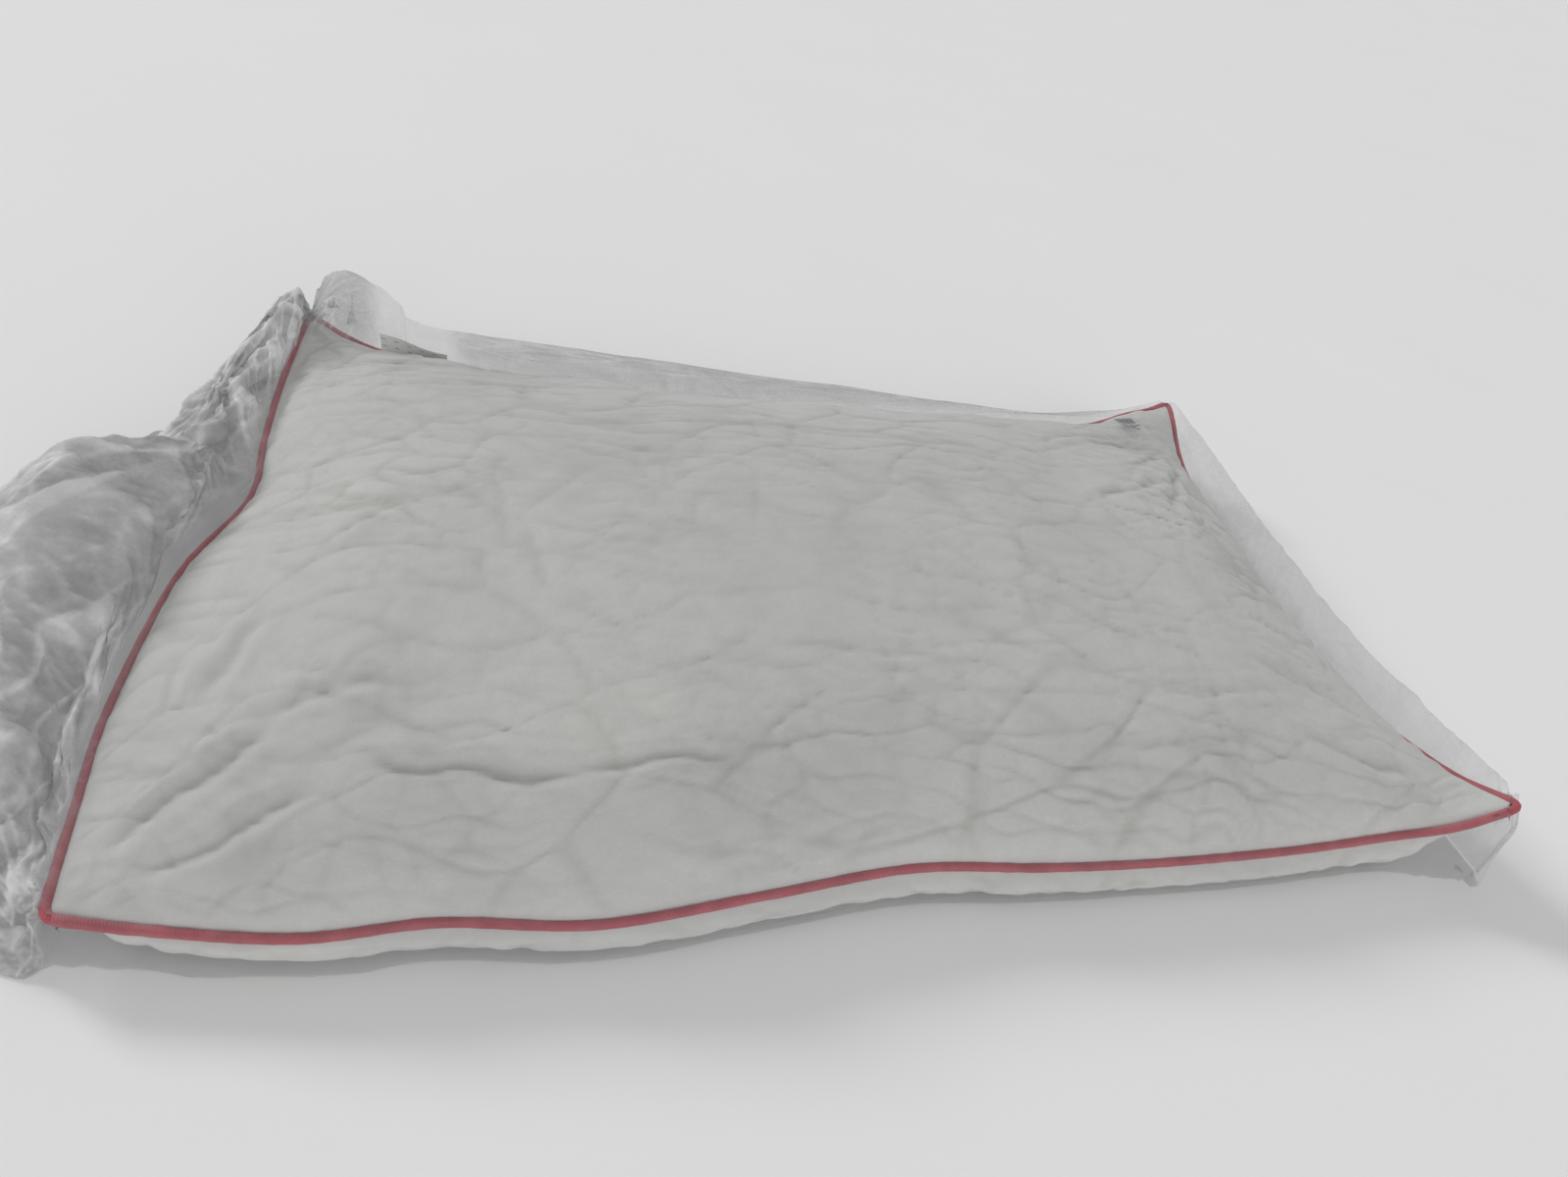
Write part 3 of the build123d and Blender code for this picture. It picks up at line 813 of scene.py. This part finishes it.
# ---- Materials ----
class Finish:
    """A node material on one Principled shader, built up from procedural textures."""

    def __init__(self, name, color, roughness, **sockets):
        self.material = bpy.data.materials.new(name)
        self.material.use_nodes = True
        self.nodes, self.links = self.material.node_tree.nodes, self.material.node_tree.links
        self.shader = self.nodes["Principled BSDF"]
        self.shader.inputs["Base Color"].default_value = (*color, 1)
        self.shader.inputs["Roughness"].default_value = roughness
        for socket, value in sockets.items():
            self.shader.inputs[socket.replace("_", " ")].default_value = value
        self.place = self.add("ShaderNodeTexCoord").outputs["Object"]

    def add(self, kind, **settings):
        node = self.nodes.new(kind)
        for setting, value in settings.items():
            if setting.startswith("in_"):
                node.inputs[int(setting[3:])].default_value = value
            else:
                setattr(node, setting, value)
        return node

    def link(self, source, target):
        self.links.new(source, target)

    def noise(self, scale, detail=4.0, roughness=0.55):
        node = self.add("ShaderNodeTexNoise")
        node.inputs["Scale"].default_value = scale
        node.inputs["Detail"].default_value = detail
        node.inputs["Roughness"].default_value = roughness
        self.link(self.place, node.inputs["Vector"])
        return node.outputs["Fac"]

    def threads(self, pitch, direction):
        node = self.add("ShaderNodeTexWave", wave_type="BANDS", bands_direction=direction)
        node.inputs["Scale"].default_value = 0.314 / pitch
        node.inputs["Distortion"].default_value = 0.6
        self.link(self.place, node.inputs["Vector"])
        return node.outputs["Fac"]

    def attribute(self, name):
        return self.add("ShaderNodeAttribute", attribute_name=name).outputs["Fac"]

    def math(self, operation, a, b=0.5):
        node = self.add("ShaderNodeMath", operation=operation)
        for k, value in enumerate((a, b)):
            if isinstance(value, (int, float)):
                node.inputs[k].default_value = value
            else:
                self.link(value, node.inputs[k])
        return node.outputs[0]

    def remap(self, value, low, high, to_low, to_high):
        node = self.add("ShaderNodeMapRange", in_1=low, in_2=high, in_3=to_low, in_4=to_high)
        self.link(value, node.inputs[0])
        return node.outputs[0]

    def blend(self, amount, first, second):
        node = self.add("ShaderNodeMix", data_type="RGBA")
        self.link(amount, node.inputs[0])
        for socket, value in ((node.inputs[6], first), (node.inputs[7], second)):
            if isinstance(value, tuple):
                socket.default_value = (*value, 1)
            else:
                self.link(value, socket)
        return node.outputs[2]

    def paint(self, socket, value):
        self.link(value, self.shader.inputs[socket])

    def bump(self, height, strength, distance):
        node = self.add("ShaderNodeBump")
        node.inputs["Strength"].default_value = strength
        node.inputs["Distance"].default_value = distance
        self.link(height, node.inputs["Height"])
        last = self.shader.inputs["Normal"]
        if last.is_linked:
            self.link(last.links[0].from_socket, node.inputs["Normal"])
        self.link(node.outputs[0], last)

    def put_on(self, *pieces):
        for piece in pieces:
            piece.data.materials.clear()
            piece.data.materials.append(self.material)


cotton = Finish("cotton_casing", (0.55, 0.55, 0.535), 0.86, Sheen_Weight=0.15)
patches = cotton.remap(cotton.noise(9, 3), 0.35, 0.7, 0, 1)
grainy = cotton.remap(cotton.noise(420, 2), 0.3, 0.7, 0, 1)
tone = cotton.blend(patches, (0.545, 0.55, 0.54), (0.6, 0.598, 0.575))
tone = cotton.blend(cotton.math("MULTIPLY", grainy, 0.35), tone, (0.5, 0.5, 0.485))
# Painted shade: the cotton's colour is darkened towards a dull grey along the creases, by their depth.
crease_painted_shade = cotton.math("MULTIPLY", cotton.attribute("crease"), 0.7)
cotton.paint("Base Color", cotton.blend(crease_painted_shade, tone, (0.4, 0.405, 0.375)))
WEAVE_PITCH = 0.7 * MM
weave = cotton.math("ADD", cotton.threads(WEAVE_PITCH, "X"), cotton.threads(WEAVE_PITCH, "Y"))
cotton.bump(weave, 0.25, 0.00012)
cotton.bump(cotton.noise(190, 5), 0.35, 0.0006)
cotton.bump(cotton.noise(55, 4), 0.4, 0.0016)
cotton.put_on(casing)

red = Finish("piping_twill", (0.27, 0.035, 0.05), 0.72, Sheen_Weight=0.2)
slant = red.math("SINE", red.math("ADD", red.math("MULTIPLY", red.attribute("run"), 4200.0),
                                  red.math("MULTIPLY", red.attribute("turn"), 4.0)), 0)
red.paint("Base Color", red.blend(red.remap(red.noise(70, 4), 0.3, 0.7, 0, 1),
                                  (0.29, 0.036, 0.053), (0.42, 0.07, 0.09)))
red.bump(slant, 0.35, 0.0002)
red.put_on(piping)

yarn = Finish("cotton_yarn", (0.62, 0.6, 0.56), 0.9)
yarn.bump(yarn.noise(900, 3), 0.4, 0.0003)
yarn.paint("Base Color", yarn.blend(yarn.noise(300, 3), (0.56, 0.54, 0.5), (0.68, 0.66, 0.62)))
yarn.put_on(core, needle, bobbin, closing)

fibre = Finish("polyester_fibre", (0.8, 0.8, 0.79), 0.95)
fibre.bump(fibre.noise(260, 6), 0.8, 0.002)
fibre.paint("Base Color", fibre.blend(fibre.noise(120, 4), (0.74, 0.74, 0.73), (0.86, 0.86, 0.85)))
fibre.put_on(fill)

clear = Finish("bag_film", (0.3, 0.3, 0.31), 0.52, IOR=1.45, Specular_IOR_Level=0.35)
is_loose, stands, streaks = (clear.attribute(n) for n in ("loose", "standing", "streak"))
free = clear.math("MAXIMUM", is_loose, clear.math("MULTIPLY", stands, 0.7))
# Painted highlights: the film's colour is lighter, and it is more opaque, along its fold ridges and in wispy
# streaks of noise, for the light that its creases catch.
wispy_highlight = clear.remap(clear.noise(38, 6, 0.72), 0.36, 0.66, 0, 1)
painted_highlight = clear.math("MINIMUM", clear.math("ADD", clear.math("MULTIPLY", streaks, 0.75),
                                       clear.math("MULTIPLY", wispy_highlight, 0.45)), 1.0)
highlighted_grey = clear.blend(painted_highlight, (0.3, 0.3, 0.303), (0.74, 0.74, 0.745))
clear.paint("Base Color", clear.blend(free, (0.55, 0.55, 0.56), highlighted_grey))
opacity = clear.remap(free, 0, 1, 0.07, 0.5)
highlight_alpha = clear.math("MULTIPLY", painted_highlight, clear.remap(free, 0, 1, 0.06, 0.34))
clear.paint("Alpha", clear.math("ADD", opacity, highlight_alpha))
clear.bump(clear.noise(30, 4), 0.35, 0.002)
clear.bump(clear.noise(95, 5, 0.7), 0.35, 0.0009)
clear.put_on(film)

under = Finish("bag_film_under", (0.5, 0.5, 0.51), 0.3, IOR=1.45, Alpha=0.3)
under.bump(under.noise(40, 4), 0.4, 0.001)
under.paint("Base Color", under.blend(under.noise(26, 3), (0.44, 0.44, 0.45), (0.58, 0.58, 0.59)))
under.put_on(lower_film)

ribbon = Finish("label_ribbon", (0.74, 0.74, 0.73), 0.6)
across, up = ribbon.attribute("across"), ribbon.attribute("up")
lines = ribbon.math("GREATER_THAN", ribbon.math("SINE", ribbon.math("MULTIPLY", up, 19.0), 0), 0.86)
gaps = ribbon.math("GREATER_THAN", ribbon.math("SINE", ribbon.math("MULTIPLY", across, 33.0), 0), 0.45)
inside = ribbon.math("MULTIPLY", ribbon.math("GREATER_THAN", up, 0.3), ribbon.math("LESS_THAN", across, 0.85))
dashes = ribbon.math("MULTIPLY", ribbon.math("MULTIPLY", lines, gaps), inside)
ribbon.paint("Base Color", ribbon.blend(dashes, (0.9, 0.9, 0.89), (0.42, 0.42, 0.43)))
ribbon.bump(ribbon.threads(0.0005, "X"), 0.2, 0.0001)
ribbon.put_on(care)

clear_label = Finish("clear_label", (0.6, 0.6, 0.61), 0.2, Alpha=0.08)
clear_label.bump(clear_label.noise(60, 3), 0.2, 0.0004)
clear_label.put_on(print_sheet)
black = Finish("print_ink", (0.05, 0.05, 0.055), 0.5)
black.paint("Base Color", black.blend(black.noise(500, 3), (0.035, 0.035, 0.04), (0.08, 0.08, 0.085)))
black.bump(black.noise(600, 2), 0.2, 0.0001)
black.put_on(ink)

# ---- Floor, light and camera ----
floor_lines = np.linspace(-30, 30, 9)
floor = patch("floor", [[(x, y, 0) for y in floor_lines] for x in floor_lines])
pale = Finish("studio_floor", (0.86, 0.86, 0.86), 0.9)
pale.paint("Base Color", pale.blend(pale.noise(3, 3), (0.85, 0.85, 0.85), (0.88, 0.88, 0.88)))
pale.put_on(floor)


def sun(name, toward, strength, spread_angle):
    """An even soft light that falls in the direction toward."""
    light = bpy.data.lights.new(name, "SUN")
    light.energy, light.angle = strength, math.radians(spread_angle)
    holder = bpy.data.objects.new(name, light)
    holder.rotation_euler = Vector(toward).to_track_quat("-Z", "Y").to_euler()
    bpy.context.scene.collection.objects.link(holder)


def look_through(place, pitch, yaw, roll, focal):
    """A camera at place that looks down by pitch, turned by yaw from +Y and rolled by roll."""
    pitch, yaw, roll = (math.radians(a) for a in (pitch, yaw, roll))
    ahead = Vector((math.sin(yaw) * math.cos(pitch), math.cos(yaw) * math.cos(pitch),
                    -math.sin(pitch)))
    level = Vector((math.cos(yaw), -math.sin(yaw), 0))
    upward = level.cross(ahead)
    right = math.cos(roll) * level + math.sin(roll) * upward
    up = -math.sin(roll) * level + math.cos(roll) * upward
    camera = bpy.data.cameras.new("camera")
    camera.lens, camera.sensor_width, camera.clip_start = focal, 36, 0.01
    eye = bpy.data.objects.new("camera", camera)
    eye.matrix_world = Matrix([(*axes, at) for *axes, at in zip(right, up, -ahead, place)] + [(0, 0, 0, 1)])
    bpy.context.scene.collection.objects.link(eye)
    bpy.context.scene.camera = eye


sun("window", (0.75, -0.85, -0.55), strength=1.55, spread_angle=14)
sun("front_fill", (-0.15, 0.95, -0.2), strength=1.2, spread_angle=50)
world = bpy.data.worlds.new("studio")
world.use_nodes = True
world.node_tree.nodes["Background"].inputs[0].default_value = (1, 1, 1, 1)
world.node_tree.nodes["Background"].inputs[1].default_value = 0.5
bpy.context.scene.world = world
bpy.context.scene.view_settings.view_transform = "Standard"
look_through((-0.200, -0.5436, 0.4663), pitch=38.17, yaw=18.17, roll=13.84, focal=24.77)

# ---- Each piece hangs from the root body and hides the CAD parts that it stands for ----
for piece, slot, nodes in (
    (casing, "casing", ("casing_upper_panel", "casing_lower_panel")),
    (fill, "fibre", ("fibre_fill",)),
    (piping, "piping", ("piping_cover",)),
    (core, "cord", ("piping_cord",)),
    (needle, "thread", ("needle_thread",)),
    (bobbin, "thread", ("bobbin_thread",)),
    (closing, "thread", ("closing_thread",)),
    (care, "label", ("care_label",)),
    (film, "film", ("bag_upper_film", "bag_open_end")),
    (lower_film, "film", ("bag_lower_film",)),
    (print_sheet, "print", ("print_label",)),
    (ink, "print", ()),
):
    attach(piece, "root")
    if nodes:
        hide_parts(*nodes)
